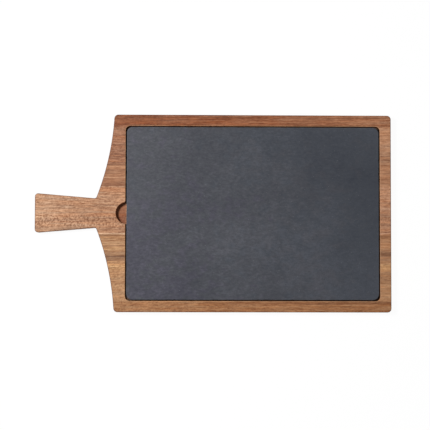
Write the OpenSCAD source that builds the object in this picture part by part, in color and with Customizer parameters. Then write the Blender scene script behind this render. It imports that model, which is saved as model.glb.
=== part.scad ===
// Wooden serving board with a slate plate let into it.
// The wood is glued up from five staves that run along the handle. The slate lies loose in a
// recess, on four pads, and a finger notch beside the handle lets it be tipped up and lifted out.
//
// Frame: +X points from the handle to the far end, +Y across the staves, +Z up from the table.
// The origin is the middle of the whole board's footprint, on the table.

/* [Body] */
// Length of the body, without the shoulders and the handle
body_l = 351; // [260:1:450]
// Width of the body, across the staves
body_w = 250; // [220:5:320]
// Thickness of the wood
board_t = 15; // [12:0.5:24]
// Radius of the body's corners, seen from above
corner_r = 5; // [3:0.5:14]
// Radius of the rounding along the outer edges of the wood
edge_r = 1.2; // [0.5:0.1:2.5]

/* [Handle] */
// Length of the handle, from its free end to the shoulders
handle_l = 77; // [50:1:140]
// Width of the handle at its free end
handle_end_w = 50; // [36:1:64]
// Width of the handle where it meets the shoulders
handle_neck_w = 37; // [24:1:44]
// Radius of the corners at the free end of the handle
handle_corner_r = 4; // [3:0.5:12]
// Radius in the inner corner between the handle and a shoulder
neck_r = 3; // [1:0.5:8]
// Length over which a shoulder sweeps from the body in to the handle
shoulder_l = 23; // [20:1:50]
// How far the shoulder's curve is hollowed from a straight line
shoulder_hollow = 4.3; // [1:0.1:5]

/* [Recess] */
// Width of the rim of wood round the recess
rim_w = 14.2; // [10:0.1:30]
// Radius of the corners of the recess, seen from above
recess_corner_r = 6; // [3:0.5:12]
// Radius of the rounding along the rim's inner edge
rim_edge_r = 0.8; // [0.3:0.1:1.5]

/* [Finger notch] */
// Diameter of the round pocket for a fingertip
notch_d = 27; // [20:0.5:34]
// Depth of the pocket below the floor of the recess
notch_sink = 4; // [1:0.5:5]
// How far the pocket's centre lies inside the recess, past its wall
notch_set_in = 1.5; // [0.5:0.1:4]
// Radius of the wood's corners where the pocket opens into the recess
notch_mouth_r = 3; // [1:0.5:6]

/* [Slate] */
// Thickness of the slate
slate_t = 5; // [3:0.5:7]
// Space between the slate's edge and the wall of the recess, all round
slate_gap = 1.4; // [0.6:0.1:3]
// How much more the slate's corners are rounded than the recess's
slate_corner_ease = 1.5; // [0:0.5:4]
// Radius of the rounding along the slate's edges
slate_edge_r = 0.8; // [0.3:0.1:1.5]

/* [Pads] */
// Diameter of the pads stuck under the slate
pad_d = 10; // [6:0.5:20]
// Thickness of a pad, which also sets how far the slate stands off the wood
pad_t = 1; // [0.5:0.1:2]
// Distance from the slate's edges to the middle of a pad
pad_inset = 22; // [15:1:45]

/* [Staves] */
// Width of the outermost stave on the +Y side
far_edge_stave_w = 62.5; // [40:0.5:75]
// Width of the outermost stave on the -Y side
near_edge_stave_w = 64; // [40:0.5:75]
// Wood of the handle's stave that is left beyond the handle on the +Y side
far_handle_spare = 9; // [2:0.5:15]
// Wood of the handle's stave that is left beyond the handle on the -Y side
near_handle_spare = 2; // [2:0.5:15]

/* [Hidden] */
// How far a cutting shape runs past what it cuts
overrun = 5;
// Flat steps in a rounded edge, in a small corner, in a shoulder's long curve and in the notch
edge_steps = 4;
corner_steps = 6;
shoulder_steps = 14;
notch_steps = 10;
wood_brown = "#a9714f";
wood_gold = "#bc8a66";
wood_dark = "#9c6444";
wood_red = "#9b6952";
slate_grey = "#4c4e57";
pad_clear = "#c9c9c4";

total_l = body_l + shoulder_l + handle_l;
end_x = total_l / 2;
body_x = end_x - body_l;
neck_x = body_x - shoulder_l;
grip_x = neck_x - handle_l;

recess_l = body_l - 2 * rim_w;
recess_w = body_w - 2 * rim_w;
recess_x = body_x + rim_w;
recess_depth = slate_t + pad_t;
recess_floor = board_t - recess_depth;
notch_floor = recess_floor - notch_sink;
notch_r = notch_d / 2;
notch_x = recess_x + notch_set_in;

slate_l = recess_l - 2 * slate_gap;
slate_w = recess_w - 2 * slate_gap;
slate_x = recess_x + slate_gap;
slate_corner_r = recess_corner_r + slate_corner_ease;
slate_bottom = recess_floor + pad_t;

// Glue lines between the staves, from the +Y side to the -Y side
glue_lines = [
    body_w / 2 - far_edge_stave_w,
    handle_end_w / 2 + far_handle_spare,
    -handle_end_w / 2 - near_handle_spare,
    near_edge_stave_w - body_w / 2
];
outside = body_w / 2 + overrun;

pad_count = 4;

// An outline is given as its +Y half, from the lowest X to the highest, because every shape here is
// the same on both sides of the X axis. Each point of it is [place, outward direction].

function heading(angle) = [cos(angle), sin(angle)];
function bearing(v) = atan2(v[1], v[0]);

// Points of an arc; bulge is 1 where it rounds an outer corner and -1 where it fills an inner one
function arc(centre, radius, from, to, steps, bulge = 1) = [
    for (i = [0:steps])
        let (angle = from + (to - from) * i / steps)
        [centre + radius * heading(angle), bulge * heading(angle)]
];

// Points of an arc without those that its neighbours already have: the first, or both ends
function after_first(points) = [for (i = [1:len(points) - 1]) points[i]];
function inner_points(points) = [for (i = [1:len(points) - 2]) points[i]];

function rectangle_half(x, length, width, radius) = concat(
    arc([x + radius, width / 2 - radius], radius, 180, 90, corner_steps),
    arc([x + length - radius, width / 2 - radius], radius, 90, 0, corner_steps)
);

// Where the line from a point along a direction leaves a circle
function way_out(point, direction, centre, radius) =
    let (
        offset = point - centre,
        along = direction * offset,
        reach = -along + sqrt(along * along - offset * offset + radius * radius)
    )
    point + reach * direction;

// The board's outline: handle end, tapered handle, hollow shoulder, and the body's two corners
taper = atan((handle_end_w - handle_neck_w) / 2 / handle_l);
grip_corner = [
    grip_x + handle_corner_r,
    handle_end_w / 2 - handle_corner_r * tan(taper) - handle_corner_r / cos(taper)
];
neck_point = [neck_x, handle_neck_w / 2];
wing_point = [body_x, body_w / 2];
shoulder_chord = wing_point - neck_point;
chord_l = norm(shoulder_chord);
shoulder_r = chord_l * chord_l / shoulder_hollow / 8 + shoulder_hollow / 2;
shoulder_centre = (neck_point + wing_point) / 2
    + (shoulder_r - shoulder_hollow) * [-shoulder_chord[1], shoulder_chord[0]] / chord_l;
neck_centre = way_out(
    [grip_x, handle_end_w / 2] + neck_r * heading(90 - taper),
    heading(-taper), shoulder_centre, shoulder_r - neck_r
);
wing_rise = body_w / 2 - corner_r - shoulder_centre[1];
wing_centre = [
    shoulder_centre[0] + sqrt(pow(shoulder_r + corner_r, 2) - wing_rise * wing_rise),
    body_w / 2 - corner_r
];
shoulder_from = bearing(neck_centre - shoulder_centre);
shoulder_to = bearing(wing_centre - shoulder_centre);
board_half = concat(
    arc(grip_corner, handle_corner_r, 180, 90 - taper, corner_steps),
    arc(neck_centre, neck_r, -90 - taper, shoulder_from, corner_steps, -1),
    inner_points(arc(shoulder_centre, shoulder_r, shoulder_from, shoulder_to, shoulder_steps, -1)),
    arc(wing_centre, corner_r, shoulder_to + 180, 90, corner_steps),
    arc([end_x - corner_r, body_w / 2 - corner_r], corner_r, 90, 0, corner_steps)
);

// The notch is a round pocket whose mouth curves out into the wall of the recess
mouth_centre = [
    recess_x - notch_mouth_r,
    sqrt(pow(notch_r + notch_mouth_r, 2) - pow(notch_set_in + notch_mouth_r, 2))
];
mouth_from = bearing(mouth_centre - [notch_x, 0]);
notch_facet = 90 / notch_steps;
notch_half = concat(
    arc([notch_x, 0], notch_r, 180 - notch_facet / 2, mouth_from, notch_steps),
    after_first(arc([notch_x, 0], notch_r, mouth_from, notch_facet / 2, notch_steps))
);
mouth_half = concat(
    arc(mouth_centre, notch_mouth_r, mouth_from - 180, 0, corner_steps, -1),
    [[mouth_centre + [notch_mouth_r + overrun, 0], [0, 1]]]
);

// Levels of a solid, each [height, how far the outline is drawn in]
function rounded_top(height, radius) = [
    for (i = [0:edge_steps])
        let (angle = 90 * i / edge_steps)
        [height - radius + radius * sin(angle), radius - radius * cos(angle)]
];
function rounded_bottom(height, radius) = [
    for (i = [edge_steps:-1:0])
        let (angle = 90 * i / edge_steps)
        [height + radius - radius * sin(angle), radius - radius * cos(angle)]
];
// A cutter's levels: straight walls that flare out into a rounded edge at the top
function flared(floor_z, top_z, radius) = concat(
    [[floor_z, 0]],
    [for (level = rounded_top(top_z, radius)) [level[0], -level[1]]],
    [[top_z + overrun, -radius]]
);

// A solid with the same outline at every level, drawn in or out by what the level says
module layered(half, levels) {
    count = len(half);
    ring = 2 * count;
    points = [
        for (level = levels, side = [1, -1], k = [0:count - 1])
            let (
                point = half[side > 0 ? k : count - 1 - k],
                place = point[0] - level[1] * point[1]
            )
            [place[0], side * place[1], level[0]]
    ];
    walls = [
        for (j = [0:len(levels) - 2], k = [0:ring - 1])
            let (a = j * ring + k, b = j * ring + (k + 1) % ring)
            [a, b, b + ring, a + ring]
    ];
    last = (len(levels) - 1) * ring;
    caps = [
        for (k = [0:count - 2])
            each [
                [k, ring - 1 - k, ring - 2 - k, k + 1],
                [last + k, last + k + 1, last + ring - 2 - k, last + ring - 1 - k]
            ]
    ];
    polyhedron(points, concat(walls, caps));
}

module slab(half, bottom, top, radius)
    layered(half, concat(rounded_bottom(bottom, radius), rounded_top(top, radius)));

module recess() {
    layered(
        rectangle_half(recess_x, recess_l, recess_w, recess_corner_r),
        flared(recess_floor, board_t, rim_edge_r)
    );
    layered(mouth_half, flared(recess_floor, board_t, rim_edge_r));
    layered(notch_half, flared(notch_floor, board_t, rim_edge_r));
}

// One stave: the strip of the board between two glue lines
module stave(from, to)
    difference() {
        intersection() {
            slab(board_half, 0, board_t, edge_r);
            translate([grip_x - overrun, from, -overrun])
                cube([total_l + 2 * overrun, to - from, board_t + 2 * overrun]);
        }
        recess();
    }

module far_edge_stave() color(wood_red) stave(glue_lines[0], outside);
module far_inner_stave() color(wood_brown) stave(glue_lines[1], glue_lines[0]);
module handle_stave() color(wood_gold) stave(glue_lines[2], glue_lines[1]);
module near_inner_stave() color(wood_dark) stave(glue_lines[3], glue_lines[2]);
module near_edge_stave() color(wood_gold) stave(-outside, glue_lines[3]);

module slate_plate()
    color(slate_grey)
        slab(
            rectangle_half(slate_x, slate_l, slate_w, slate_corner_r),
            slate_bottom, slate_bottom + slate_t, slate_edge_r
        );

// Pads 1 and 2 are at the handle's end of the slate, 3 and 4 at the other
module slate_pad(i) {
    x = i <= pad_count / 2 ? slate_x + pad_inset : slate_x + slate_l - pad_inset;
    side = i % 2 == 1 ? 1 : -1;
    color(pad_clear)
        translate([x, side * (slate_w / 2 - pad_inset), recess_floor])
            cylinder(d = pad_d, h = pad_t, $fn = 48);
}

far_edge_stave();
far_inner_stave();
handle_stave();
near_inner_stave();
near_edge_stave();
slate_plate();
for (i = [1:pad_count])
    slate_pad(i);
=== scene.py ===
# Serving board glued up from five acacia staves, with a slate plate lying loose in its recess.
# Metres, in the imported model's own frame: the handle points to -X and the table is z = 0.
import math

import bmesh
import bpy
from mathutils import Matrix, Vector


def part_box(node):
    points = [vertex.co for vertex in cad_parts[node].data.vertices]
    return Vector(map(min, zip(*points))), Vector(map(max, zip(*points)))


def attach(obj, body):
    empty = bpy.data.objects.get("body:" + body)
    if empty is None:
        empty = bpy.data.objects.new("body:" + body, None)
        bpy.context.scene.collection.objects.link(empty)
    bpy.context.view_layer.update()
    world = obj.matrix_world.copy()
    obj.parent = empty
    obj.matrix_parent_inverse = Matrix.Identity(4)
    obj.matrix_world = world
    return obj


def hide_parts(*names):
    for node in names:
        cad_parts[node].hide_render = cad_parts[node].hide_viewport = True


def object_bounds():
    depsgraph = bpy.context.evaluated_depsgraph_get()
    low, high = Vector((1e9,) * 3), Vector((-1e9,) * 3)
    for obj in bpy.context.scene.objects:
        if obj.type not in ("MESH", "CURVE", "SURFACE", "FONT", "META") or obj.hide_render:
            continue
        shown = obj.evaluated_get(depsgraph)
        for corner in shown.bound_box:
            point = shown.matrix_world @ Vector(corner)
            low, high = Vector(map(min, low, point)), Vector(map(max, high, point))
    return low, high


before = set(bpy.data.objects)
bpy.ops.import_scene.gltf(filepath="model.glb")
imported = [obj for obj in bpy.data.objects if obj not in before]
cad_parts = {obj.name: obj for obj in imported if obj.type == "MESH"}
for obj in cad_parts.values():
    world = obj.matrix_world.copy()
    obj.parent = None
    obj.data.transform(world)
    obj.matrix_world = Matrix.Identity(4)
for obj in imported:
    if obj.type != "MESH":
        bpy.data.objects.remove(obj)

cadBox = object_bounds()
scene = bpy.context.scene


# Node trees
def feed(tree, node, inputs):  # links or sets a node's inputs
    for name, value in inputs.items():
        if isinstance(value, bpy.types.NodeSocket):
            tree.links.new(value, node.inputs[name])
        else:
            node.inputs[name].default_value = value


def addNode(tree, kind, inputs=None, **settings):
    node = tree.nodes.new(kind)
    for name, value in settings.items():
        setattr(node, name, value)
    feed(tree, node, inputs or {})
    return node


def output(tree, kind, inputs=None, **settings):  # a new node's first output
    return addNode(tree, kind, inputs, **settings).outputs[0]


def calc(tree, operation, *values, clamp=False):  # one step of arithmetic
    inputs = dict(enumerate(values))
    return output(tree, "ShaderNodeMath", inputs, operation=operation, use_clamp=clamp)


def times(tree, first, second):
    return calc(tree, "MULTIPLY", first, second)


def timesPlus(tree, first, second, third, clamp=False):
    return calc(tree, "MULTIPLY_ADD", first, second, third, clamp=clamp)


def vectorCalc(tree, operation, *values):
    inputs = dict(enumerate(values))
    return output(tree, "ShaderNodeVectorMath", inputs, operation=operation)


def centred(tree, value):  # a pattern of 0 to 1, as a push either way
    return calc(tree, "SUBTRACT", value, 0.5)


def remap(tree, value, low, high, toLow=0.0, toHigh=1.0, ease="SMOOTHSTEP"):
    inputs = {"Value": value, "From Min": low, "From Max": high, "To Min": toLow, "To Max": toHigh}
    return output(tree, "ShaderNodeMapRange", inputs, interpolation_type=ease)


def mixColours(tree, factor, first, second, blend="MIX"):
    inputs = {0: factor, 6: first, 7: second}
    return addNode(tree, "ShaderNodeMix", inputs, data_type="RGBA", blend_type=blend).outputs[2]


def tinted(tree, colour, mask, strength, other):  # mixes in another colour where a mask shows
    return mixColours(tree, times(tree, mask, strength), colour, other)


def axes(tree, vector):
    return addNode(tree, "ShaderNodeSeparateXYZ", {0: vector}).outputs


def noise(tree, vector, scale, detail, roughness=0.5):  # scale is (x, y, z) in features a metre
    stretched = vectorCalc(tree, "MULTIPLY", vector, scale)
    inputs = {"Vector": stretched, "Scale": 1.0, "Detail": detail, "Roughness": roughness}
    return output(tree, "ShaderNodeTexNoise", inputs)


def newGroup(name, inputs, outputs, kind="ShaderNodeTree"):
    tree = bpy.data.node_groups.new(name, kind)
    for side, sockets in (("INPUT", inputs), ("OUTPUT", outputs)):
        for label, socketType in sockets.items():
            tree.interface.new_socket(label, in_out=side, socket_type=socketType)
    source = tree.nodes.new("NodeGroupInput").outputs
    result = tree.nodes.new("NodeGroupOutput").inputs
    return tree, source, result


def floats(*labels):
    return dict.fromkeys(labels, "NodeSocketFloat")


def vectors(*labels):
    return dict.fromkeys(labels, "NodeSocketVector")


def useGroup(tree, group, inputs):
    return addNode(tree, "ShaderNodeGroup", inputs, node_tree=group).outputs


def shiftedBySeed(tree, source):  # the pattern's place, moved so that each seed gives another figure
    shift = output(tree, "ShaderNodeCombineXYZ", {0: source["Seed"], 1: source["Seed"]})
    return vectorCalc(tree, "ADD", source["Vector"], shift)


def paint(red, green, blue):  # a colour as a screen shows it, made linear
    def linear(level):
        level /= 255
        return level / 12.92 if level <= 0.04045 else ((level + 0.055) / 1.055) ** 2.4
    return (linear(red), linear(green), linear(blue), 1.0)


# The wood's figure: a pattern is its features a metre (along the grain and across), detail, roughness
figureLook = dict(
    lines=((12, 600, 600), 4, 0.7),
    fibres=((100, 850, 850), 5, 0.72),
    flecks=((330, 900, 900), 3, 0.7),
    warmth=((20, 260, 260), 4, 0.7),
    ripple=((480, 330, 330), 2, 0.6),
    rippleSlant=0.6,  # radians off the grain
    bend=((6, 25, 25), 3),
    ringDetail=4.0,
    ringRoughness=0.7,
    ringLength=0.02,  # how much the way along the grain counts in a ring's radius
    ringShare=0.5,  # of a band, beside its drift
    drift=((5, 90, 90), 3, 0.6),  # a band fades in and out along its length
    dashes=((130, 2600, 2600), 1),
    crowding=((18, 120, 120), 2),
    crowded=0.4,
    poreEdge=(0.60, 0.70),
)


def makeAcaciaFigure(look):
    # Growth bands round a pith, lines and fibres along the grain, pores as short dashes, and the
    # ripple across the grain, a curl figure whose pale and dark stripes are partly painted glints
    tree, source, result = newGroup(
        "acaciaFigure", vectors("Vector", "Pith") | floats("Bands per metre", "Waviness", "Seed"),
        floats("Bands", "Lines", "Fibres", "Flecks", "Pores", "Ripple", "Warmth"))
    seeded = shiftedBySeed(tree, source)
    bend = times(tree, centred(tree, noise(tree, seeded, *look["bend"])), source["Waviness"])
    fromPith = vectorCalc(tree, "SUBTRACT", source["Vector"], source["Pith"])
    across = vectorCalc(tree, "MULTIPLY", fromPith, (look["ringLength"], 1.0, 1.0))
    radius = addNode(tree, "ShaderNodeVectorMath", {0: across}, operation="LENGTH").outputs["Value"]
    radius = calc(tree, "ADD", radius, bend)
    ring = timesPlus(tree, radius, source["Bands per metre"], source["Seed"])
    ringInputs = {"W": ring, "Scale": 1.0, "Detail": look["ringDetail"], "Roughness": look["ringRoughness"]}
    rings = output(tree, "ShaderNodeTexNoise", ringInputs, noise_dimensions="1D")
    drift = times(tree, noise(tree, seeded, *look["drift"]), 1.0 - look["ringShare"])
    tree.links.new(timesPlus(tree, rings, look["ringShare"], drift), result["Bands"])
    bent = output(tree, "ShaderNodeCombineXYZ", {1: bend})
    bentVector = vectorCalc(tree, "ADD", seeded, bent)
    for part in ("lines", "fibres", "flecks", "warmth"):
        tree.links.new(noise(tree, bentVector, *look[part]), result[part.capitalize()])
    crowding = centred(tree, noise(tree, seeded, *look["crowding"]))
    dashes = noise(tree, bentVector, *look["dashes"])
    dashes = timesPlus(tree, crowding, look["crowded"], dashes)
    tree.links.new(remap(tree, dashes, *look["poreEdge"]), result["Pores"])
    slant = {"Vector": seeded, "Rotation": (0.0, 0.0, look["rippleSlant"])}
    slanted = output(tree, "ShaderNodeMapping", slant)
    tree.links.new(noise(tree, slanted, *look["ripple"]), result["Ripple"])
    return tree


streakLook = dict(
    sway=((22, 60, 60), 3),
    sides=(0.3, 0.7),  # it is whole up to the first share of its width, and gone at the second
    breaks=((22, 600, 600), 3),
    broken=(0.35, 0.6, 0.4, 1.0),
)


def makeStreak(look):
    # A darker or paler streak along the grain: its place across the board, how far it wanders, and
    # how it fades along the board (share at the middle, and change a metre)
    inputs = vectors("Vector") | floats("Place", "Width", "Wander", "Share", "Change", "Seed")
    tree, source, result = newGroup("streak", inputs, floats("Mask"))
    seeded = shiftedBySeed(tree, source)
    sway = times(tree, centred(tree, noise(tree, seeded, *look["sway"])), source["Wander"])
    parts = axes(tree, source["Vector"])
    swayed = calc(tree, "ADD", parts["Y"], sway)
    off = calc(tree, "ABSOLUTE", calc(tree, "SUBTRACT", swayed, source["Place"]))
    solid = remap(tree, calc(tree, "DIVIDE", off, source["Width"]), *look["sides"], 1.0, 0.0)
    broken = remap(tree, noise(tree, seeded, *look["breaks"]), *look["broken"])
    fading = timesPlus(tree, parts["X"], source["Change"], source["Share"], clamp=True)
    mask = times(tree, times(tree, solid, broken), fading)
    tree.links.new(mask, result["Mask"])
    return tree


def makeHollow():
    # How far a place lies inside a box: 1 inside, 0 outside, with a soft border
    inputs = vectors("Vector", "Middle", "Reach") | floats("Border")
    tree, source, result = newGroup("hollow", inputs, floats("Mask"))
    offset = vectorCalc(tree, "ABSOLUTE", vectorCalc(tree, "SUBTRACT", source["Vector"], source["Middle"]))
    parts = axes(tree, vectorCalc(tree, "SUBTRACT", source["Reach"], offset))
    least = calc(tree, "MINIMUM", calc(tree, "MINIMUM", parts["X"], parts["Y"]), parts["Z"])
    tree.links.new(calc(tree, "DIVIDE", least, source["Border"], clamp=True), result["Mask"])
    return tree


edgeLook = dict(
    level=(0.7, 0.9),  # these three are of how upright the surface's direction is
    offSteep=(0.05, 0.35),
    offLevel=(0.998, 0.93),
    acrossGrain=(0.45, 0.85),  # and this is of its part along X
    wear=((70, 70, 70), 3),
    worn=(0.35, 0.65, 0.5, 1.0),
)


def makeEdgeMasks(look):
    # From the surface's direction: rounded edges, faces across the grain, and level faces
    inputs, outputs = vectors("Normal", "Vector"), floats("Edge", "End grain", "Level")
    tree, source, result = newGroup("edgeMasks", inputs, outputs)
    parts = axes(tree, source["Normal"])
    upright = calc(tree, "ABSOLUTE", parts["Z"])
    tree.links.new(remap(tree, upright, *look["level"]), result["Level"])
    offSteep, offLevel = (remap(tree, upright, *look[limit]) for limit in ("offSteep", "offLevel"))
    worn = remap(tree, noise(tree, source["Vector"], *look["wear"]), *look["worn"])
    rounded = times(tree, offSteep, offLevel)
    tree.links.new(times(tree, rounded, worn), result["Edge"])
    along = calc(tree, "ABSOLUTE", parts["X"])
    tree.links.new(remap(tree, along, *look["acrossGrain"]), result["End grain"])
    return tree


acaciaFigure = makeAcaciaFigure(figureLook)
streakGroup = makeStreak(streakLook)
hollowGroup = makeHollow()
edgeMasks = makeEdgeMasks(edgeLook)
bumpDepth = 0.0001  # what a pattern's whole height stands for, in every finish


def newMaterial(name):
    material = bpy.data.materials.new(name)
    material.use_nodes = True
    tree = material.node_tree
    shader = tree.nodes["Principled BSDF"]
    coordinates = tree.nodes.new("ShaderNodeTexCoord").outputs
    return material, tree, shader, coordinates


def coat(tree, shader, colour, rough, height, bump, others):
    normal = output(tree, "ShaderNodeBump", {"Height": height, "Strength": bump, "Distance": bumpDepth})
    feed(tree, shader, {"Base Color": colour, "Roughness": rough, "Normal": normal, **others})


# What the frame gives of the slate and its pads, and the sizes of the carving
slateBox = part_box("slate_plate")
padBoxes = [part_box(f"slate_pad_{number}") for number in range(1, 5)]
recessFloor = padBoxes[0][0].z
recessSizes = dict(gap=0.0014, cornerRadius=0.006, edgeRadius=0.0008, cornerSteps=12, edgeSteps=4)
notchSizes = dict(radius=0.0135, setIn=0.0015, sink=0.004, mouthRadius=0.003, steps=20, mouthSteps=8)
recessWallX = slateBox[0].x - recessSizes["gap"]
notchFloor = recessFloor - notchSizes["sink"]


# Wood
woodColours = dict(
    dark=paint(100, 58, 38),
    red=paint(120, 60, 27),
    amber=paint(140, 84, 44),
    orange=paint(190, 112, 60),
    rust=paint(146, 70, 20),
    smoke=paint(116, 84, 68),
    pale=paint(232, 198, 168),
    gold=paint(222, 170, 118),
    pore=paint(84, 44, 26),
    endGrain=paint(118, 72, 46),
    # next two: handled outer edges, darker, partly painted shade; sanded recess rim, paler, partly a
    # painted highlight
    edge=paint(92, 45, 24),
    sandedEdgeHighlight=paint(222, 170, 128),
    # the last three colours: painted shade for the recess and the finger notch
    recess=paint(38, 17, 9),
    notchWallShade=paint(122, 47, 13),
    notch=paint(134, 60, 24),
)
# These multiply the wood's own colour: its darkest and palest grain, its cooler and warmer patches
darkGrain, paleGrain = (0.62, 0.52, 0.45, 1.0), (1.38, 1.48, 1.55, 1.0)
coolWood, warmWood = (0.94, 1.03, 1.06, 1.0), (1.05, 0.97, 0.84, 1.0)
woodFinish = dict(
    toneReach=0.75,  # grain this far off the middle is as dark or as pale as it gets
    calmGrain=0.75,  # share of the grain that is left at the far end
    curlLeft=0.3,  # share of the ripple that is left past the middle of the board
    curlBeside=0.25,  # and beside the band that a stave's curl keeps to
    curlWhole=0.5,  # share of that band's reach where it is whole
    ringsOnEnds=2.0,  # more of the growth rings where a stave is sawn across
    grainOffEnds=0.7,  # and less of the rest of the grain
    warmthRange=(0.35, 0.65),
    wander=0.5,  # of a stave's waviness, in its streaks
    endTint=0.5,  # how strongly the end grain and the two kinds of edge are coloured
    # sanded rim: partly a painted highlight; handled edges: partly painted shade
    sandedHighlight=0.65,
    handledShade=0.7,
    roughness=0.52,
    rougherPores=0.12,
    rougherLines=0.15,
    rougherEnds=0.15,
    specular=0.2,
    fibreHeight=0.5,  # beside a pore's depth
    bump=0.35,
)
# A streak is (place, width, strength, tone, where): it shows along the whole board, fades out
# or in towards the far end, shows mostly towards the handle or towards the far end, or only at
# the handle's free end or past the handle
wholeLength, fadingOut, fadingIn = (1.0, 0.0), (1.05, -3.0), (1.0, 2.5)
towardsHandle, towardsFarEnd = (0.5, -9.0), (0.5, 9.0)
atHandleEnd, pastHandle = (-5.3, -28.0), (2.2, 10.0)
# Of the grain's parts, a stave gives how strongly each shows; curl is (middle, reach) of its band
staveLooks = {
    "far_edge_stave": dict(
        slot="wood_red", handleEnd=paint(145, 96, 72), farEnd=paint(192, 141, 110), turn=0.4,
        pith=(0.0, 0.16, -0.05), bandsPerMetre=240.0, waviness=0.003, seed=1.7,
        bands=0.7, lines=2.2, fibres=3.8, flecks=1.3, ripple=1.8, pores=0.5, warmth=0.9,
        streaks=[
            (0.1185, 0.0170, 0.85, "red", fadingOut), (0.1170, 0.0150, 0.30, "rust", fadingIn),
            (0.0715, 0.0120, 0.55, "dark", towardsFarEnd), (0.0955, 0.0050, 0.25, "orange", towardsHandle),
            (0.0655, 0.0014, 0.50, "orange", towardsHandle), (0.1118, 0.0020, 0.35, "dark", wholeLength),
            (0.0858, 0.0016, 0.35, "dark", towardsHandle), (0.1215, 0.0014, 0.35, "dark", wholeLength),
            (0.0745, 0.0090, 0.25, "dark", towardsHandle),
        ],
    ),
    "far_inner_stave": dict(
        slot="wood_brown", handleEnd=paint(159, 111, 82), farEnd=paint(179, 127, 96), turn=-0.2,
        pith=(0.0, 0.02, -0.12), bandsPerMetre=300.0, waviness=0.002, seed=4.3,
        bands=1.0, lines=1.9, fibres=3.0, flecks=0.6, ripple=0.4, pores=0.45, warmth=0.8,
        streaks=[
            (0.0614, 0.0016, 0.60, "dark", towardsHandle), (0.0588, 0.0010, 0.15, "pale", towardsHandle),
            (0.0360, 0.0044, 0.50, "dark", towardsHandle), (0.0449, 0.0008, 0.22, "pale", towardsHandle),
            (0.0545, 0.0014, 0.40, "dark", wholeLength), (0.0386, 0.0016, 0.35, "dark", wholeLength),
        ],
    ),
    "handle_stave": dict(
        slot="wood_gold", handleEnd=paint(184, 140, 111), farEnd=paint(202, 149, 119), turn=0.25,
        pith=(0.0, -0.01, -0.20), bandsPerMetre=260.0, waviness=0.0015, seed=7.9,
        bands=0.8, lines=2.0, fibres=3.6, flecks=1.9, ripple=6.0, pores=0.6, warmth=1.2,
        curl=(-0.0098, 0.0090),
        streaks=[
            (-0.0263, 0.0014, 0.90, "pale", towardsHandle), (0.0300, 0.0060, 0.25, "orange", towardsHandle),
            (-0.0095, 0.0060, 0.28, "red", towardsHandle), (-0.0145, 0.0030, 0.50, "dark", towardsFarEnd),
            (0.0096, 0.0014, 0.25, "dark", towardsHandle), (-0.0205, 0.0080, 0.24, "dark", towardsHandle),
            (0.0000, 0.0700, 0.30, "amber", pastHandle), (-0.0030, 0.0130, 0.24, "dark", pastHandle),
            (-0.0030, 0.0090, 0.30, "pale", atHandleEnd), (-0.0026, 0.0036, 0.22, "orange", towardsHandle),
        ],
    ),
    "near_inner_stave": dict(
        slot="wood_streaked", handleEnd=paint(179, 135, 99), farEnd=paint(188, 137, 102), turn=0.5,
        pith=(0.0, -0.08, -0.06), bandsPerMetre=220.0, waviness=0.005, seed=2.6,
        bands=1.6, lines=2.0, fibres=2.8, flecks=0.6, ripple=0.4, pores=0.5, warmth=0.9,
        streaks=[
            (-0.0284, 0.0014, 0.45, "dark", wholeLength), (-0.0305, 0.0044, 0.30, "dark", towardsFarEnd),
            (-0.0412, 0.0014, 0.55, "dark", towardsHandle), (-0.0448, 0.0034, 0.25, "gold", towardsHandle),
            (-0.0548, 0.0120, 0.68, "smoke", towardsHandle), (-0.0540, 0.0024, 0.50, "dark", towardsHandle),
            (-0.0525, 0.0150, 0.44, "smoke", towardsFarEnd), (-0.0520, 0.0050, 0.40, "dark", towardsFarEnd),
        ],
    ),
    "near_edge_stave": dict(
        slot="wood_honey", handleEnd=paint(181, 135, 98), farEnd=paint(185, 136, 100), turn=-0.35,
        pith=(0.0, -0.19, -0.04), bandsPerMetre=200.0, waviness=0.004, seed=9.2,
        bands=0.7, lines=1.8, fibres=2.8, flecks=1.2, ripple=2.2, pores=0.5, warmth=0.8,
        streaks=[
            (-0.0682, 0.0080, 0.45, "gold", wholeLength), (-0.1190, 0.0160, 0.71, "amber", fadingIn),
            (-0.0870, 0.0060, 0.25, "dark", wholeLength), (-0.0800, 0.0100, 0.35, "smoke", towardsFarEnd),
            (-0.1130, 0.0036, 0.50, "dark", towardsFarEnd), (-0.1010, 0.0016, 0.30, "dark", towardsHandle),
        ],
    ),
}


def middleAndReach(low, high):  # a box given by its corners
    middle = (Vector(low) + Vector(high)) / 2
    return middle, Vector(high) - middle


def aroundSlate(margin, bottom, top):
    low, high = slateBox
    return middleAndReach((low.x - margin, low.y - margin, bottom), (high.x + margin, high.y + margin, top))


# The masks of the hollows go a little past their walls. The recess's starts just above the notch's
# floor and the notch's below it, and both end just under the board's top.
recessMargins = dict(wall=0.0002, floor=0.0003, top=0.0003)
notchMargins = dict(wall=0.0002, end=0.0010, side=0.0015, floor=0.0018, top=0.0002)
notchEndX = recessWallX + notchSizes["setIn"] - notchSizes["radius"]
notchHalfWidth = notchSizes["radius"] + notchMargins["side"]
recessShadeMask = aroundSlate(recessSizes["gap"] + recessMargins["wall"], notchFloor + recessMargins["floor"],
                         cadBox[1].z - recessMargins["top"])
notchShadeMask = middleAndReach(
    (notchEndX - notchMargins["end"], -notchHalfWidth, notchFloor - notchMargins["floor"]),
    (recessWallX + notchMargins["wall"], notchHalfWidth, cadBox[1].z - notchMargins["top"]),
)
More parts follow.
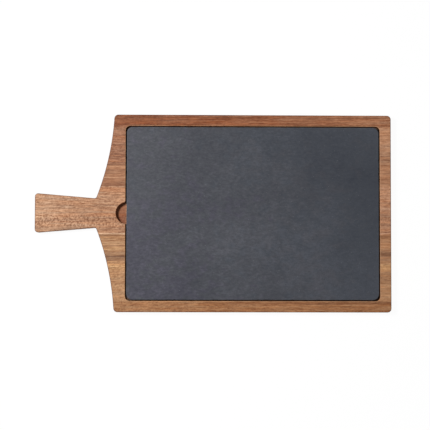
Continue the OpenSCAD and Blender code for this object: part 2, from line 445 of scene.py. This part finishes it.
# Painted shade: the wood is coloured darker inside the recess and the finger notch, as shade would
# fall there: what colours a hollow's level faces and its steep ones, how far from its walls the level faces
# clear up, and by what share
hollowShades = [
    dict(mask=recessShadeMask, level=("recess", 0.92), steep=("recess", 0.88), clearing=(0.016, 0.8)),
    dict(mask=notchShadeMask, level=("notch", 0.5), steep=("notchWallShade", 0.8), clearing=(0.016, 0.0)),
]
anyHeight = 1.0  # more than any part of the board
softBorder = 0.0005  # how far inside its walls a box's mask is whole
# The rim of the recess is sanded paler, partly a painted highlight; the board's outer edges are handled
# darker, partly painted shade on their rounding
sandedRimHighlight = dict(margin=0.0032, depth=0.004)
sandedHighlightMask = aroundSlate(sandedRimHighlight["margin"], slateBox[1].z - sandedRimHighlight["depth"],
                         slateBox[1].z + sandedRimHighlight["depth"])


def boxMask(tree, place, middle, reach, border=softBorder):
    inputs = {"Vector": place, "Middle": middle, "Reach": reach, "Border": border}
    return useGroup(tree, hollowGroup, inputs)["Mask"]


def woodFigure(tree, look, place):
    turn = {"Vector": place, "Rotation": (0.0, 0.0, math.radians(look["turn"]))}
    return useGroup(tree, acaciaFigure, {
        "Vector": output(tree, "ShaderNodeMapping", turn), "Pith": look["pith"],
        "Bands per metre": look["bandsPerMetre"], "Waviness": look["waviness"], "Seed": look["seed"]})


def streakedColour(tree, look, place, along):
    share = remap(tree, along, cadBox[0].x, cadBox[1].x, ease="LINEAR")
    colour = mixColours(tree, share, look["handleEnd"], look["farEnd"])
    wander = woodFinish["wander"] * look["waviness"]
    for number, (across, width, strength, kind, (share, change)) in enumerate(look["streaks"]):
        mask = useGroup(tree, streakGroup, {
            "Vector": place, "Place": across, "Width": width, "Wander": wander,
            "Share": share, "Change": change, "Seed": look["seed"] + number})["Mask"]
        colour = tinted(tree, colour, mask, strength, woodColours[kind])
    return colour


def curlShare(tree, look, parts):  # the ripple dies away along the board, and may keep to one band
    curl = remap(tree, parts["X"], cadBox[0].x, 0.0, 1.0, woodFinish["curlLeft"], "LINEAR")
    if "curl" in look:
        middle, reach = look["curl"]
        away = calc(tree, "ABSOLUTE", calc(tree, "SUBTRACT", parts["Y"], middle))
        whole = woodFinish["curlWhole"] * reach
        beside = remap(tree, away, whole, reach, 1.0, woodFinish["curlBeside"])
        curl = times(tree, curl, beside)
    return curl


def grainTone(tree, look, figure, sawn, parts):  # sawn ends show the growth rings, and less grain
    ringed = timesPlus(tree, sawn, woodFinish["ringsOnEnds"], 1.0)
    plain = timesPlus(tree, sawn, -woodFinish["grainOffEnds"], 1.0)
    curl = curlShare(tree, look, parts)
    tone = 0.0
    for part in ("bands", "lines", "fibres", "flecks", "ripple"):
        kept = ringed if part == "bands" else plain
        share = times(tree, centred(tree, figure[part.capitalize()]), kept)
        # the ripple's tone is partly the curl figure, partly painted glints
        if part == "ripple":
            share = times(tree, share, curl)
        tone = timesPlus(tree, share, look[part], tone)
    calm = remap(tree, parts["X"], 0.0, cadBox[1].x, 1.0, woodFinish["calmGrain"], "LINEAR")
    return times(tree, tone, calm)


# Recess rim sanded paler, partly a painted highlight; outer edges handled darker, partly painted shade
def edgeWearAndPaintedLight(tree, colour, place, edge):
    sandedHighlight = times(tree, edge, boxMask(tree, place, *sandedHighlightMask))
    handledShade = calc(tree, "SUBTRACT", edge, sandedHighlight)
    colour = tinted(tree, colour, sandedHighlight, woodFinish["sandedHighlight"], woodColours["sandedEdgeHighlight"])
    return tinted(tree, colour, handledShade, woodFinish["handledShade"], woodColours["edge"])


# Paints shade into the recess and the finger notch, darker on their level and steep faces
def paintedHollowShade(tree, colour, place, levelFaces):
    for hollow in hollowShades:
        middle, reach = hollow["mask"]
        inside = boxMask(tree, place, middle, reach)
        level = times(tree, inside, levelFaces)
        steep = calc(tree, "SUBTRACT", inside, level)
        border, share = hollow["clearing"]
        clear = boxMask(tree, place, middle, (reach.x, reach.y, anyHeight), border)
        level = times(tree, level, timesPlus(tree, clear, -share, 1.0))
        for mask, (kind, strength) in ((level, hollow["level"]), (steep, hollow["steep"])):
            colour = tinted(tree, colour, mask, strength, woodColours[kind])
    return colour


def woodMaterial(name, look):
    material, tree, shader, coordinates = newMaterial(name)
    place = coordinates["Object"]
    parts = axes(tree, place)
    figure = woodFigure(tree, look, place)
    pores = figure["Pores"]
    edges = useGroup(tree, edgeMasks, {"Normal": coordinates["Normal"], "Vector": place})
    sawn = edges["End grain"]
    tone = grainTone(tree, look, figure, sawn, parts)
    reach = woodFinish["toneReach"]
    shade = mixColours(tree, remap(tree, tone, -reach, reach), darkGrain, paleGrain)
    colour = mixColours(tree, 1.0, streakedColour(tree, look, place, parts["X"]), shade, "MULTIPLY")
    warmth = remap(tree, figure["Warmth"], *woodFinish["warmthRange"], ease="LINEAR")
    warmed = mixColours(tree, 1.0, colour, mixColours(tree, warmth, coolWood, warmWood), "MULTIPLY")
    colour = mixColours(tree, look["warmth"], colour, warmed)
    colour = tinted(tree, colour, pores, look["pores"], woodColours["pore"])
    colour = tinted(tree, colour, sawn, woodFinish["endTint"], woodColours["endGrain"])
    colour = edgeWearAndPaintedLight(tree, colour, place, edges["Edge"])
    colour = paintedHollowShade(tree, colour, place, edges["Level"])
    rough = woodFinish["roughness"]
    for mask, more in ((pores, "rougherPores"), (figure["Lines"], "rougherLines"), (sawn, "rougherEnds")):
        rough = timesPlus(tree, mask, woodFinish[more], rough)
    fibres = times(tree, figure["Fibres"], woodFinish["fibreHeight"])
    height = calc(tree, "SUBTRACT", fibres, pores)
    shine = {"Specular IOR Level": woodFinish["specular"]}
    coat(tree, shader, colour, rough, height, woodFinish["bump"], shine)
    return material


# Slate
slateColours = dict(
    deep=paint(49, 51, 60),
    middle=paint(65, 67, 74),
    light=paint(83, 84, 92),
    speck=paint(128, 132, 136),
    pit=paint(40, 42, 48),
    # edge: worn paler, partly a painted highlight on the rounded edge
    edge=paint(104, 108, 114),
)
violetStone, blueStone = (1.05, 0.97, 1.10, 1.0), (0.90, 0.96, 1.0, 1.0)  # multiply the stone's colour
# Patterns in the stone: features a metre, detail, roughness
slatePatterns = dict(
    clouds=((11, 14, 14), 5, 0.6),
    wave=((240, 420, 420), 3, 0.65),
    mottle=((110, 150, 150), 3, 0.6),
    grit=((1500, 1500, 1500), 2, 0.6),
    hue=((7, 10, 10), 3, 0.6),
    patches=((75, 95, 95), 3, 0.6),
    specks=((620, 620, 620), 1),
    pits=((480, 520, 480), 1),
)
slateLook = dict(
    lightness=0.43,
    lighterAlong=0.9,  # a metre
    mottling=(1.4, 0.3),  # at the handle's end, and at the far end
    waves=1.4,  # beside the mottling
    grit=0.6,
    bluerAlong=1.6,  # a metre
    bluerAcross=1.0,  # a metre
    patches=1.3,
    violetRange=(0.5, 0.2),
    blueRange=(0.5, 0.9),
    specks=(0.72, 0.80, 0.35),  # where they begin and are whole, and how strong they are
    pits=(0.29, 0.22, 0.5),
    # worn edge, partly a painted highlight
    wornEdgeHighlight=0.6,
    roughness=(0.3, 0.7, 0.46, 0.58),
    rougherGrit=0.1,
    specular=0.35,
    waveHeight=0.7,
    gritHeight=0.3,
    bump=0.4,
)
# Broad paler and darker clouds in the stone: (place, reach, strength)
slateClouds = [((-0.09, 0.10), 0.07, 0.22), ((0.02, -0.005), 0.11, 0.08), ((0.17, 0.035), 0.14, -0.22),
               ((-0.085, -0.02), 0.07, 0.12), ((-0.017, 0.065), 0.12, -0.17), ((-0.08, -0.09), 0.06, 0.10)]


def slateTone(tree, look, patterns, place, along):
    tone = calc(tree, "ADD", centred(tree, patterns["clouds"]), look["lightness"])
    tone = timesPlus(tree, along, look["lighterAlong"], tone)
    for middle, reach, strength in slateClouds:
        away = addNode(tree, "ShaderNodeVectorMath", {0: place, 1: (*middle, slateBox[1].z)},
                       operation="DISTANCE").outputs["Value"]
        tone = timesPlus(tree, remap(tree, away, 0.0, reach, 1.0, 0.0), strength, tone)
    mottling = remap(tree, along, slateBox[0].x, slateBox[1].x, *look["mottling"], "LINEAR")
    tone = timesPlus(tree, centred(tree, patterns["mottle"]), mottling, tone)
    waves = times(tree, centred(tree, patterns["wave"]), look["waves"])
    tone = timesPlus(tree, waves, mottling, tone)
    return timesPlus(tree, centred(tree, patterns["grit"]), look["grit"], tone, clamp=True)


def slateHue(tree, look, patterns, parts):  # violet where it is low, blue where it is high
    hue = timesPlus(tree, parts["X"], look["bluerAlong"], patterns["hue"])
    hue = timesPlus(tree, parts["Y"], look["bluerAcross"], hue)
    return timesPlus(tree, centred(tree, patterns["patches"]), look["patches"], hue)


def slateMaterial(look):
    material, tree, shader, coordinates = newMaterial("honedSlate")
    place = coordinates["Object"]
    parts = axes(tree, place)
    patterns = {name: noise(tree, place, *pattern) for name, pattern in slatePatterns.items()}
    ramp = addNode(tree, "ShaderNodeValToRGB", {"Fac": slateTone(tree, look, patterns, place, parts["X"])})
    ramp.color_ramp.elements[0].color = slateColours["deep"]
    ramp.color_ramp.elements[1].color = slateColours["light"]
    ramp.color_ramp.elements.new(0.5).color = slateColours["middle"]
    colour = ramp.outputs["Color"]
    hue = slateHue(tree, look, patterns, parts)
    for hueRange, stone in (("violetRange", violetStone), ("blueRange", blueStone)):
        colour = mixColours(tree, remap(tree, hue, *look[hueRange]), colour, stone, "MULTIPLY")
    for spots, kind in (("specks", "speck"), ("pits", "pit")):
        begins, whole, strength = look[spots]
        mask = remap(tree, patterns[spots], begins, whole)
        colour = tinted(tree, colour, mask, strength, slateColours[kind])
    edges = useGroup(tree, edgeMasks, {"Normal": coordinates["Normal"], "Vector": place})
    # edges paler: worn, and partly a painted highlight
    colour = tinted(tree, colour, edges["Edge"], look["wornEdgeHighlight"], slateColours["edge"])
    rough = remap(tree, patterns["mottle"], *look["roughness"], "LINEAR")
    rough = timesPlus(tree, patterns["grit"], look["rougherGrit"], rough)
    gritHeight = times(tree, patterns["grit"], look["gritHeight"])
    height = timesPlus(tree, patterns["wave"], look["waveHeight"], gritHeight)
    coat(tree, shader, colour, rough, height, look["bump"], {"Specular IOR Level": look["specular"]})
    return material


padLook = dict(
    haze=((400, 400, 400), 3),
    clear=paint(176, 178, 174),
    cloudy=paint(206, 206, 200),
    roughness=(0.3, 0.7, 0.3, 0.5),
    depth=0.002,  # how far light goes into it
    translucency=0.3,
    bump=0.2,
)


def padMaterial(look):
    material, tree, shader, coordinates = newMaterial("clearSilicone")
    haze = noise(tree, coordinates["Object"], *look["haze"])
    colour = mixColours(tree, haze, look["clear"], look["cloudy"])
    rough = remap(tree, haze, *look["roughness"], "LINEAR")
    inside = {"Subsurface Weight": look["translucency"], "Subsurface Radius": (look["depth"],) * 3}
    coat(tree, shader, colour, rough, haze, look["bump"], inside)
    return material


print("materials made")


# Outlines are the +Y half, from the lowest x to the highest: every shape here is the same on both
# sides of the X axis. Each point is (place, outward direction).
def heading(angle):
    return Vector((math.cos(math.radians(angle)), math.sin(math.radians(angle))))


def bearing(vector):
    return math.degrees(math.atan2(vector[1], vector[0]))


def arc(centre, radius, start, end, steps, bulge=1):
    angles = [start + (end - start) * i / steps for i in range(steps + 1)]
    return [(Vector(centre) + radius * heading(a), bulge * heading(a)) for a in angles]


def rectangleHalf(lowX, highX, halfWidth, radius, steps):
    return (arc((lowX + radius, halfWidth - radius), radius, 180, 90, steps)
            + arc((highX - radius, halfWidth - radius), radius, 90, 0, steps))


def wayOut(point, direction, centre, radius):  # where a line leaves a circle
    offset = point - centre
    along = direction.dot(offset)
    return point + direction * (math.sqrt(along ** 2 - offset.dot(offset) + radius ** 2) - along)


overrun = 0.005  # how far a cutting shape runs past what it cuts

boardSizes = dict(
    cornerRadius=0.005, edgeRadius=0.0012, handleLength=0.077, handleEndWidth=0.050,
    handleNeckWidth=0.037, gripCornerRadius=0.004, neckRadius=0.003, shoulderLength=0.023,
    shoulderHollow=0.0043, cornerSteps=12, shoulderSteps=40, edgeSteps=5,
)


def boardHalf(sizes):
    gripX, endX, halfWidth = cadBox[0].x, cadBox[1].x, cadBox[1].y
    neckX = gripX + sizes["handleLength"]
    bodyX = neckX + sizes["shoulderLength"]
    endHalf, neckHalf = sizes["handleEndWidth"] / 2, sizes["handleNeckWidth"] / 2
    taper = math.degrees(math.atan((endHalf - neckHalf) / sizes["handleLength"]))
    grip, neck, corner = sizes["gripCornerRadius"], sizes["neckRadius"], sizes["cornerRadius"]
    lean = math.radians(taper)
    gripCorner = (gripX + grip, endHalf - grip * math.tan(lean) - grip / math.cos(lean))
    inner, outer = Vector((neckX, neckHalf)), Vector((bodyX, halfWidth))
    chord, hollow = outer - inner, sizes["shoulderHollow"]
    curve = chord.length ** 2 / hollow / 8 + hollow / 2
    centre = (inner + outer) / 2 + (curve - hollow) * Vector((-chord.y, chord.x)) / chord.length
    besideHandle = Vector((gripX, endHalf)) + neck * heading(90 - taper)
    neckCentre = wayOut(besideHandle, heading(-taper), centre, curve - neck)
    rise = halfWidth - corner - centre.y
    wingCentre = Vector((centre.x + math.sqrt((curve + corner) ** 2 - rise ** 2), halfWidth - corner))
    start, end = bearing(neckCentre - centre), bearing(wingCentre - centre)
    steps = sizes["cornerSteps"]
    return (arc(gripCorner, grip, 180, 90 - taper, steps)
            + arc(neckCentre, neck, -90 - taper, start, steps, -1)
            + arc(centre, curve, start, end, sizes["shoulderSteps"], -1)[1:-1]
            + arc(wingCentre, corner, end + 180, 90, steps)
            + arc((endX - corner, halfWidth - corner), corner, 90, 0, steps))


def notchHalves(sizes, wallX):  # the round pocket, and its mouth that curves out into the wall
    radius, mouth, steps = sizes["radius"], sizes["mouthRadius"], sizes["steps"]
    centre = Vector((wallX + sizes["setIn"], 0.0))
    mouthY = math.sqrt((radius + mouth) ** 2 - (sizes["setIn"] + mouth) ** 2)
    mouthCentre = Vector((wallX - mouth, mouthY))
    turn = bearing(mouthCentre - centre)
    facet = 90 / steps
    pocket = (arc(centre, radius, 180 - facet / 2, turn, steps)
              + arc(centre, radius, turn, facet / 2, steps)[1:])
    flare = arc(mouthCentre, mouth, turn - 180, 0, sizes["mouthSteps"], -1)
    flare.append((mouthCentre + Vector((mouth + overrun, 0.0)), Vector((0.0, 1.0))))
    return pocket, flare


# Levels of a solid, each (height, how far the outline is drawn in)
def roundedTop(height, radius, steps):
    angles = [math.pi / 2 * i / steps for i in range(steps + 1)]
    return [(height - radius + radius * math.sin(a), radius - radius * math.cos(a)) for a in angles]


def roundedBottom(height, radius, steps):
    return [(2 * height - z, inward) for z, inward in reversed(roundedTop(height, radius, steps))]


def flared(floorZ, topZ, radius, steps):  # a cutter whose walls open out at the top
    rim = [(z, -inward) for z, inward in roundedTop(topZ, radius, steps)]
    return [(floorZ, 0.0)] + rim + [(topZ + overrun, -radius)]


def finishedMesh(build, name):
    bmesh.ops.recalc_face_normals(build, faces=build.faces)
    mesh = bpy.data.meshes.new(name)
    build.to_mesh(mesh)
    build.free()
    return mesh


def layeredMesh(name, half, levels):
    build = bmesh.new()
    rings = []
    for height, inward in levels:
        side = [place - inward * outward for place, outward in half]
        ring = [(p.x, p.y, height) for p in side] + [(p.x, -p.y, height) for p in reversed(side)]
        rings.append([build.verts.new(corner) for corner in ring])
    count = len(rings[0])
    for lower, upper in zip(rings, rings[1:]):
        for k in range(count):
            after = (k + 1) % count
            build.faces.new((lower[k], upper[k], upper[after], lower[after]))
    for ring in (rings[0], rings[-1]):
        for k in range(len(half) - 1):
            build.faces.new((ring[k], ring[k + 1], ring[count - 2 - k], ring[count - 1 - k]))
    return finishedMesh(build, name)


def newPiece(name, data):
    piece = bpy.data.objects.new(name, data)
    scene.collection.objects.link(piece)
    return piece


def settled(piece):  # the piece's mesh with its modifiers worked in
    return bpy.data.meshes.new_from_object(piece.evaluated_get(bpy.context.evaluated_depsgraph_get()))


def dropPieces(pieces):
    for piece in pieces:
        bpy.data.objects.remove(piece)


def carvedBoard():
    steps = boardSizes["edgeSteps"]
    top, edge = cadBox[1].z, boardSizes["edgeRadius"]
    levels = roundedBottom(0.0, edge, steps) + roundedTop(top, edge, steps)
    blank = newPiece("blank", layeredMesh("blank", boardHalf(boardSizes), levels))
    gap = recessSizes["gap"]
    recess = rectangleHalf(recessWallX, slateBox[1].x + gap, slateBox[1].y + gap,
                           recessSizes["cornerRadius"], recessSizes["cornerSteps"])
    pocket, mouth = notchHalves(notchSizes, recessWallX)
    cutters = []
    for name, half, floorZ in (("recess", recess, recessFloor), ("mouth", mouth, recessFloor),
                               ("pocket", pocket, notchFloor)):
        shape = flared(floorZ, top, recessSizes["edgeRadius"], recessSizes["edgeSteps"])
        cutter = newPiece(name, layeredMesh(name, half, shape))
        carve = blank.modifiers.new(name, "BOOLEAN")
        carve.object, carve.operation, carve.solver = cutter, "DIFFERENCE", "EXACT"
        cutters.append(cutter)
    mesh = settled(blank)
    dropPieces([blank] + cutters)
    return mesh


def smoothShaded(mesh, angle=32.0):  # flat faces stay flat where they meet a rounded edge
    mesh.shade_smooth()
    mesh.set_sharp_from_angle(angle=math.radians(angle))
    piece = newPiece("shading", mesh)
    weights = piece.modifiers.new("weights", "WEIGHTED_NORMAL")
    weights.keep_sharp = True
    weights.weight = 100  # the larger faces decide
    made = settled(piece)
    dropPieces([piece])
    return made


weldDistance = 1e-6  # carving leaves pairs of corners that are closer than this
onCut = 1e-7  # corners this near to a cut count as lying on it


def cutStave(board, lowY, highY):
    build = bmesh.new()
    build.from_mesh(board)
    bmesh.ops.remove_doubles(build, verts=build.verts[:], dist=weldDistance)
    bmesh.ops.dissolve_degenerate(build, edges=build.edges[:], dist=weldDistance)
    for placeY, direction in ((lowY, -1), (highY, 1)):
        if abs(placeY) >= cadBox[1].y:
            continue
        geometry = build.verts[:] + build.edges[:] + build.faces[:]
        cut = bmesh.ops.bisect_plane(build, geom=geometry, dist=onCut, plane_co=(0, placeY, 0),
                                     plane_no=(0, direction, 0), clear_outer=True)["geom_cut"]
        border = [part for part in cut if isinstance(part, bmesh.types.BMEdge)]
        bmesh.ops.holes_fill(build, edges=border)
    return finishedMesh(build, "stave")


def makeStaves():
    board = carvedBoard()
    for name, look in staveLooks.items():
        low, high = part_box(name)
        mesh = smoothShaded(cutStave(board, low.y, high.y))
        mesh.materials.clear()
        mesh.materials.append(woodMaterial(look["slot"], look))
        stave = newPiece(name.replace("_stave", "_plank"), mesh)
        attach(stave, "board")
        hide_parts(name)
        print(stave.name, len(mesh.polygons), "faces")


# The slate's plate is a closed grid whose lines crowd towards its rounded edges
plateSizes = dict(
    cornerRadius=0.0075, edgeRadius=0.0008, cell=0.0022, edgeSteps=4, sideSteps=3,
    rimWidth=0.002,  # how far in from the edge chips go
    softAngle=50.0,
)
plateSurface = {  # inputs of the geometry tree
    "Relief height": 0.00012,
    "Relief size": 0.016,
    "Chip depth": 0.00045,
    "Chip size": 0.0035,
    "Seed": 5.0,
}
reliefLook = dict(detail=4.0, spread=(0.3, 0.7), facing=(0.5, 0.9))  # facing: how upright a face is
chipLook = dict(detail=3.0, spread=(0.5, 0.72))


def gridLines(low, high, sizes):
    radius, steps = sizes["edgeRadius"], sizes["edgeSteps"]
    near = [radius - radius * math.cos(math.pi / 2 * i / steps) for i in range(steps + 1)]
    near.append(near[-1] + sizes["cell"] / 2)
    count = round((high - low - 2 * near[-1]) / sizes["cell"])
    inside = [low + near[-1] + (high - low - 2 * near[-1]) * i / count for i in range(1, count)]
    return [low + d for d in near] + inside + [high - d for d in reversed(near)]


def plateMesh(sizes):
    low, high = slateBox
    corner, edge = sizes["cornerRadius"], sizes["edgeRadius"]
    linesX, linesY = gridLines(low.x, high.x, sizes), gridLines(low.y, high.y, sizes)
    build = bmesh.new()
    rim = build.verts.layers.float.new("rim")
    outward = build.verts.layers.float_vector.new("outward")

    def placed(x, y):  # where a grid point goes, how deep inside it lies, and which way is out
        coreX = min(max(x, low.x + corner), high.x - corner)
        coreY = min(max(y, low.y + corner), high.y - corner)
        offset = Vector((x - coreX, y - coreY))
        reach = max(abs(offset.x), abs(offset.y))
        if offset.x and offset.y:
            offset = offset.normalized() * reach
        inside = min(x - low.x, high.x - x, y - low.y, high.y - y)
        direction = offset.normalized() if reach else Vector((0.0, 0.0))
        return coreX + offset.x, coreY + offset.y, inside, direction

    def addVert(x, y, z, inside, direction):
        vert = build.verts.new((x, y, z))
        vert[rim] = max(0.0, 1.0 - inside / sizes["rimWidth"])
        vert[outward] = (direction.x, direction.y, 0.0)
        return vert

    def sheet(sign, face):
        rows = []
        for y in linesY:
            row = []
            for x in linesX:
                px, py, inside, direction = placed(x, y)
                short = max(0.0, edge - inside)
                drop = edge - math.sqrt(edge ** 2 - short ** 2)
                row.append(addVert(px, py, face - sign * drop, inside, direction))
            rows.append(row)
        for lower, upper in zip(rows, rows[1:]):
            for k in range(len(linesX) - 1):
                build.faces.new((lower[k], lower[k + 1], upper[k + 1], upper[k]))
        left, right = [row[0] for row in rows], [row[-1] for row in rows]
        return rows[0] + right[1:] + rows[-1][-2::-1] + left[-2:0:-1]  # once round the sheet

    top, bottom = sheet(1, high.z), sheet(-1, low.z)
    steps = sizes["sideSteps"]
    rings = [top]
    for step in range(1, steps):
        ring = []
        for upper, lower in zip(top, bottom):
            place = upper.co.lerp(lower.co, step / steps)
            ring.append(addVert(*place, 0.0, Vector(upper[outward][:2])))
        rings.append(ring)
    rings.append(bottom)
    count = len(top)
    for upper, lower in zip(rings, rings[1:]):
        for k in range(count):
            after = (k + 1) % count
            build.faces.new((upper[k], upper[after], lower[after], lower[k]))
    return finishedMesh(build, "slatePlate")


def geometryTree(name, inputs):
    geometry = {"Geometry": "NodeSocketGeometry"}
    sockets = geometry | {"Material": "NodeSocketMaterial"} | inputs
    return newGroup(name, sockets, geometry, "GeometryNodeTree")


def finishTree(tree, source, result, geometry):
    real = output(tree, "GeometryNodeRealizeInstances", {0: geometry})
    coated = output(tree, "GeometryNodeSetMaterial", {"Geometry": real, "Material": source["Material"]})
    tree.links.new(coated, result["Geometry"])


def slateTree():
    # Low relief sunk into the top, and small chips out of the edges
    tree, source, result = geometryTree("slateSurface", floats(*plateSurface))
    place = output(tree, "GeometryNodeInputPosition")
    normal = output(tree, "GeometryNodeInputNormal")
    rim = output(tree, "GeometryNodeInputNamedAttribute", {"Name": "rim"}, data_type="FLOAT")
    outward = output(tree, "GeometryNodeInputNamedAttribute", {"Name": "outward"}, data_type="FLOAT_VECTOR")

    def field(size, detail):
        features = calc(tree, "DIVIDE", 1.0, size)
        inputs = {"Vector": place, "W": source["Seed"], "Scale": features, "Detail": detail}
        return output(tree, "ShaderNodeTexNoise", inputs, noise_dimensions="4D")

    onTop = remap(tree, axes(tree, normal)["Z"], *reliefLook["facing"])
    upper = times(tree, onTop, calc(tree, "SUBTRACT", 1.0, rim))
    relief = field(source["Relief size"], reliefLook["detail"])
    relief = remap(tree, relief, *reliefLook["spread"], ease="LINEAR")
    sunk = times(tree, times(tree, relief, upper), source["Relief height"])
    down = output(tree, "ShaderNodeCombineXYZ", {2: times(tree, sunk, -1.0)})
    chips = remap(tree, field(source["Chip size"], chipLook["detail"]), *chipLook["spread"])
    depth = times(tree, times(tree, chips, rim), source["Chip depth"])
    inward = {0: outward, "Scale": times(tree, depth, -1.0)}
    chipped = output(tree, "ShaderNodeVectorMath", inward, operation="SCALE")
    move = {"Geometry": source["Geometry"], "Offset": vectorCalc(tree, "ADD", down, chipped)}
    moved = output(tree, "GeometryNodeSetPosition", move)
    finishTree(tree, source, result, moved)
    return tree


def grow(piece, tree, values):  # works a geometry tree into a piece's mesh, and removes the modifier
    modifier = piece.modifiers.new(tree.name, "NODES")
    modifier.node_group = tree
    for item in tree.interface.items_tree:
        if item.in_out == "INPUT" and item.name in values:
            modifier[item.identifier] = values[item.name]
    mesh = settled(piece)
    piece.modifiers.remove(modifier)
    piece.data = mesh


def makeSlate():
    plate = newPiece("slate", plateMesh(plateSizes))
    grow(plate, slateTree(), dict(plateSurface, Material=slateMaterial(slateLook)))
    plate.data = smoothShaded(plate.data, plateSizes["softAngle"])
    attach(plate, "slate")
    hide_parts("slate_plate")
    print(plate.name, len(plate.data.polygons), "faces")


# Four clear pads under the slate, one turned shape set out by a tree
padSizes = dict(edgeRadius=0.00035, edgeSteps=3, turns=40)


def padMesh(sizes):
    low, high = padBoxes[0]
    radius, thickness, edge = (high.x - low.x) / 2, high.z - low.z, sizes["edgeRadius"]
    steps = sizes["edgeSteps"]
    levels = roundedBottom(0.0, edge, steps) + roundedTop(thickness, edge, steps)
    facet = 180 / sizes["turns"]
    half = arc((0.0, 0.0), radius, 180 - facet / 2, facet / 2, sizes["turns"])
    return layeredMesh("pad", half, levels)


def padTree(template):
    inputs = floats("Span X", "Span Y") | vectors("Centre")
    tree, source, result = geometryTree("padsUnderSlate", inputs)
    corners = output(tree, "GeometryNodeMeshGrid", {
        "Size X": source["Span X"], "Size Y": source["Span Y"], "Vertices X": 2, "Vertices Y": 2})
    places = output(tree, "GeometryNodeTransform", {"Geometry": corners, "Translation": source["Centre"]})
    pad = addNode(tree, "GeometryNodeObjectInfo", {"Object": template}).outputs["Geometry"]
    pads = output(tree, "GeometryNodeInstanceOnPoints", {"Points": places, "Instance": pad})
    finishTree(tree, source, result, pads)
    return tree


def makePads():
    template = newPiece("padTemplate", padMesh(padSizes))
    centres = [(low + high) / 2 for low, high in padBoxes]
    spanX = max(c.x for c in centres) - min(c.x for c in centres)
    spanY = max(c.y for c in centres) - min(c.y for c in centres)
    middle = sum(centres, Vector()) / len(centres)
    values = {"Span X": spanX, "Span Y": spanY, "Centre": (middle.x, middle.y, padBoxes[0][0].z),
              "Material": padMaterial(padLook)}
    pads = newPiece("slatePads", bpy.data.meshes.new("slatePads"))
    grow(pads, padTree(template), values)
    dropPieces([template])
    pads.data = smoothShaded(pads.data)
    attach(pads, "slate")
    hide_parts(*[f"slate_pad_{number}" for number in range(1, 5)])
    print(pads.name, len(pads.data.polygons), "faces")


makeStaves()
makeSlate()
makePads()


# Camera straight above, a hair off square, as the picture was taken
cameraLook = dict(
    imagePixels=430, focalPixels=1200.0, millimetresPerPixel=1.2650, sensor=36.0,
    tilt=2.6, lean=-1.0, roll=0.12, aim=(0.0020, -0.0022),
)


def makeCamera(look):
    data = bpy.data.cameras.new("camera")
    camera = newPiece("camera", data)
    data.sensor_width = look["sensor"]
    data.lens = look["sensor"] * look["focalPixels"] / look["imagePixels"]
    distance = look["focalPixels"] * look["millimetresPerPixel"] / 1000
    camera.rotation_euler = [math.radians(look[turn]) for turn in ("tilt", "lean", "roll")]
    backwards = camera.rotation_euler.to_matrix() @ Vector((0.0, 0.0, 1.0))
    camera.location = Vector((*look["aim"], cadBox[1].z)) + distance * backwards
    scene.camera = camera


# A soft lamp to the upper left, with a pale room all round
lampLook = dict(place=(-0.462, 0.180, 1.015), size=0.17, power=10.1, room=0.27)


def makeLights(look):
    data = bpy.data.lights.new("softbox", "AREA")
    data.shape, data.size, data.energy = "SQUARE", look["size"], look["power"]
    lamp = newPiece("softbox", data)
    lamp.location = look["place"]
    lamp.rotation_mode = "QUATERNION"
    lamp.rotation_quaternion = (-Vector(look["place"])).to_track_quat("-Z", "Y")
    world = bpy.data.worlds.new("room")
    scene.world = world
    world.use_nodes = True
    tree = world.node_tree
    tree.nodes.clear()
    path = tree.nodes.new("ShaderNodeLightPath").outputs
    seen = calc(tree, "MAXIMUM", path["Is Camera Ray"], path["Is Transmission Ray"])
    strength = remap(tree, seen, 0.0, 1.0, look["room"], 1.0, "LINEAR")
    background = output(tree, "ShaderNodeBackground", {"Color": (1, 1, 1, 1), "Strength": strength})
    addNode(tree, "ShaderNodeOutputWorld", {"Surface": background})


# White table that shows as the picture's white ground, keeps a faint shadow, and is clear from below
floorLook = dict(size=8.0, drop=0.0002, shadowShare=0.05, glow=0.96, white=0.8)


def makeFloor(look):
    half, z = look["size"] / 2, -look["drop"]
    mesh = bpy.data.meshes.new("floor")
    corners = [(-half, -half, z), (half, -half, z), (half, half, z), (-half, half, z)]
    mesh.from_pydata(corners, [], [(0, 1, 2, 3)])
    floor = newPiece("floor", mesh)
    material, tree, shader = newMaterial("whiteTable")[:3]
    tree.nodes.remove(shader)
    plain, faint = (output(tree, "ShaderNodeBsdfDiffuse", {"Color": (look[part],) * 3 + (1,)})
                    for part in ("white", "shadowShare"))
    glow = output(tree, "ShaderNodeEmission", {"Strength": look["glow"]})
    shown = output(tree, "ShaderNodeAddShader", {0: glow, 1: faint})
    path = tree.nodes.new("ShaderNodeLightPath").outputs
    seen = calc(tree, "MAXIMUM", path["Is Camera Ray"], path["Is Glossy Ray"])
    seen = calc(tree, "MAXIMUM", seen, path["Is Transmission Ray"])
    upper = output(tree, "ShaderNodeMixShader", {0: seen, 1: plain, 2: shown})
    clear = output(tree, "ShaderNodeBsdfTransparent")
    below = tree.nodes.new("ShaderNodeNewGeometry").outputs["Backfacing"]
    table = output(tree, "ShaderNodeMixShader", {0: below, 1: upper, 2: clear})
    tree.links.new(table, tree.nodes["Material Output"].inputs["Surface"])
    mesh.materials.append(material)


makeCamera(cameraLook)
makeLights(lampLook)
makeFloor(floorLook)
scene.view_settings.view_transform = "Standard"
print("camera, lamp and table made")
